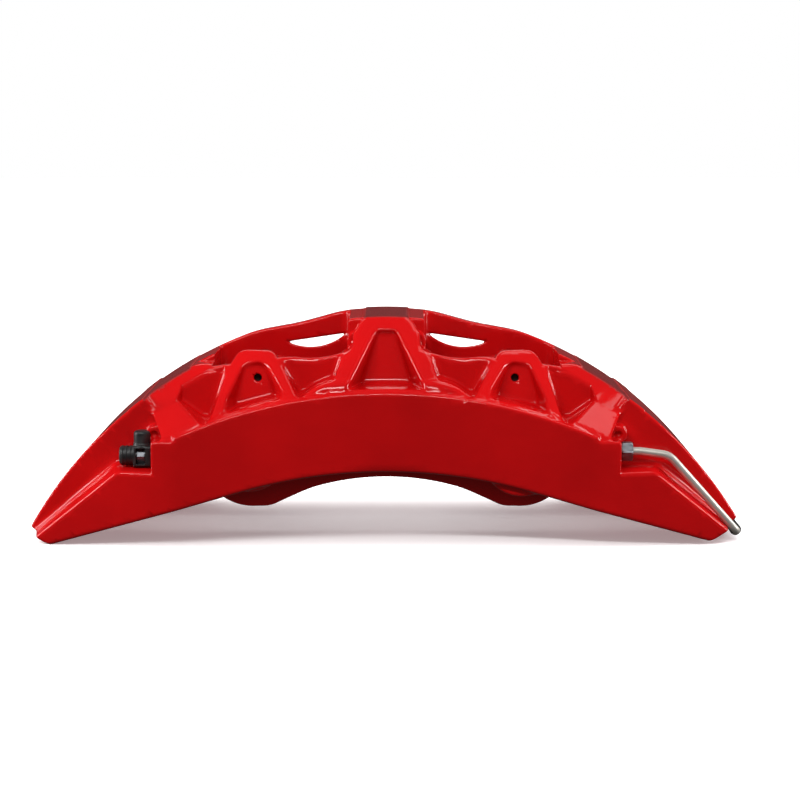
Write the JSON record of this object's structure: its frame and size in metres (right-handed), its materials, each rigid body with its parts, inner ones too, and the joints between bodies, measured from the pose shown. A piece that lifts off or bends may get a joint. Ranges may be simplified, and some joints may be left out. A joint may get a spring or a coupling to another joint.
{
  "type": "brake caliper",
  "caption": "Fixed opposed-piston brake caliper: red one-piece casting with pads, pins, bleed screws and a crossover pipe round one tip.",
  "frame": {"origin": "midway between the two mounting bolts, on the mounting faces", "axes": "+X along the caliper towards the end with the crossover pipe, +Y inboard along the brake disc's axis, +Z away from the disc's centre, parallel to the mounting bolts"},
  "size_m": [0.4253, 0.165, 0.1322],
  "materials": {
    "casting": "gloss red paint on a sand-cast aluminium surface",
    "piston": "hard anodised, fine turned",
    "seal_rubber": "matt moulded rubber",
    "cap_rubber": "satin moulded rubber",
    "pad_backing": "black powder coat",
    "lining": "pressed friction compound with metal flecks",
    "stainless": "cold-rolled stainless",
    "zinc_steel": "bright zinc plate",
    "pipe": "coated steel brake pipe"
  },
  "bodies": {
    "caliper": {"caliper_body": "casting", "piston_seal_outer_1": "seal_rubber", "dust_seal_outer_1": "seal_rubber", "piston_seal_outer_2": "seal_rubber", "dust_seal_outer_2": "seal_rubber", "piston_seal_outer_3": "seal_rubber", "dust_seal_outer_3": "seal_rubber", "piston_seal_outer_4": "seal_rubber", "dust_seal_outer_4": "seal_rubber", "abutment_plates_outer": "stainless", "pipe_nut_outer": "zinc_steel", "piston_seal_inner_1": "seal_rubber", "dust_seal_inner_1": "seal_rubber", "piston_seal_inner_2": "seal_rubber", "dust_seal_inner_2": "seal_rubber", "piston_seal_inner_3": "seal_rubber", "dust_seal_inner_3": "seal_rubber", "piston_seal_inner_4": "seal_rubber", "dust_seal_inner_4": "seal_rubber", "abutment_plates_inner": "stainless", "pipe_nut_inner": "zinc_steel", "pad_pin_left": "stainless", "pin_clip_left": "stainless", "pad_spring_left": "stainless", "pad_pin_right": "stainless", "pin_clip_right": "stainless", "pad_spring_right": "stainless", "crossover_pipe": "pipe", "pipe_sleeve": "cap_rubber"},
    "pad_outer": {"backing_plate_outer": "pad_backing", "brake_lining_outer": "lining", "pad_shim_outer": "stainless"},
    "piston_outer_1": {"piston_outer_1": "piston"},
    "piston_outer_2": {"piston_outer_2": "piston"},
    "piston_outer_3": {"piston_outer_3": "piston"},
    "piston_outer_4": {"piston_outer_4": "piston"},
    "pad_inner": {"backing_plate_inner": "pad_backing", "brake_lining_inner": "lining", "pad_shim_inner": "stainless"},
    "piston_inner_1": {"piston_inner_1": "piston"},
    "piston_inner_2": {"piston_inner_2": "piston"},
    "piston_inner_3": {"piston_inner_3": "piston"},
    "piston_inner_4": {"piston_inner_4": "piston"},
    "bleed_screw_outer": {"bleed_screw_outer": "zinc_steel"},
    "bleed_cap_outer": {"bleed_cap_outer": "cap_rubber"},
    "bleed_screw_inner": {"bleed_screw_inner": "zinc_steel"},
    "bleed_cap_inner": {"bleed_cap_inner": "cap_rubber"}
  },
  "joints": [
    {"name": "pad_outer_slide", "type": "slide", "parent": "caliper", "child": "pad_outer", "axis": [0, 1, 0], "range_m": [0, 0.009]},
    {"name": "piston_outer_1_stroke", "type": "slide", "parent": "caliper", "child": "piston_outer_1", "axis": [0, 1, 0], "range_m": [0, 0.009]},
    {"name": "piston_outer_2_stroke", "type": "slide", "parent": "caliper", "child": "piston_outer_2", "axis": [0, 1, 0], "range_m": [0, 0.009]},
    {"name": "piston_outer_3_stroke", "type": "slide", "parent": "caliper", "child": "piston_outer_3", "axis": [0, 1, 0], "range_m": [0, 0.009]},
    {"name": "piston_outer_4_stroke", "type": "slide", "parent": "caliper", "child": "piston_outer_4", "axis": [0, 1, 0], "range_m": [0, 0.009]},
    {"name": "pad_inner_slide", "type": "slide", "parent": "caliper", "child": "pad_inner", "axis": [0, -1, 0], "range_m": [0, 0.009]},
    {"name": "piston_inner_1_stroke", "type": "slide", "parent": "caliper", "child": "piston_inner_1", "axis": [0, -1, 0], "range_m": [0, 0.009]},
    {"name": "piston_inner_2_stroke", "type": "slide", "parent": "caliper", "child": "piston_inner_2", "axis": [0, -1, 0], "range_m": [0, 0.009]},
    {"name": "piston_inner_3_stroke", "type": "slide", "parent": "caliper", "child": "piston_inner_3", "axis": [0, -1, 0], "range_m": [0, 0.009]},
    {"name": "piston_inner_4_stroke", "type": "slide", "parent": "caliper", "child": "piston_inner_4", "axis": [0, -1, 0], "range_m": [0, 0.009]},
    {"name": "bleed_screw_outer_turn", "type": "hinge", "parent": "caliper", "child": "bleed_screw_outer", "pos_m": [-0.1375, -0.133, 0.036], "axis": [-1, 0, 0], "range_deg": [0, 180]},
    {"name": "bleed_cap_outer_pull", "type": "slide", "parent": "caliper", "child": "bleed_cap_outer", "axis": [-1, 0, 0], "range_m": [0, 0.022]},
    {"name": "bleed_screw_inner_turn", "type": "hinge", "parent": "caliper", "child": "bleed_screw_inner", "pos_m": [-0.1375, -0.013, 0.036], "axis": [-1, 0, 0], "range_deg": [0, 180]},
    {"name": "bleed_cap_inner_pull", "type": "slide", "parent": "caliper", "child": "bleed_cap_inner", "axis": [-1, 0, 0], "range_m": [0, 0.022]}
  ],
  "couplings": [
    {"joint": "piston_outer_1_stroke", "follows": "pad_outer_slide", "ratio": 1},
    {"joint": "piston_outer_2_stroke", "follows": "pad_outer_slide", "ratio": 1},
    {"joint": "piston_outer_3_stroke", "follows": "pad_outer_slide", "ratio": 1},
    {"joint": "piston_outer_4_stroke", "follows": "pad_outer_slide", "ratio": 1},
    {"joint": "pad_inner_slide", "follows": "pad_outer_slide", "ratio": 1},
    {"joint": "piston_inner_1_stroke", "follows": "pad_outer_slide", "ratio": 1},
    {"joint": "piston_inner_2_stroke", "follows": "pad_outer_slide", "ratio": 1},
    {"joint": "piston_inner_3_stroke", "follows": "pad_outer_slide", "ratio": 1},
    {"joint": "piston_inner_4_stroke", "follows": "pad_outer_slide", "ratio": 1}
  ]
}
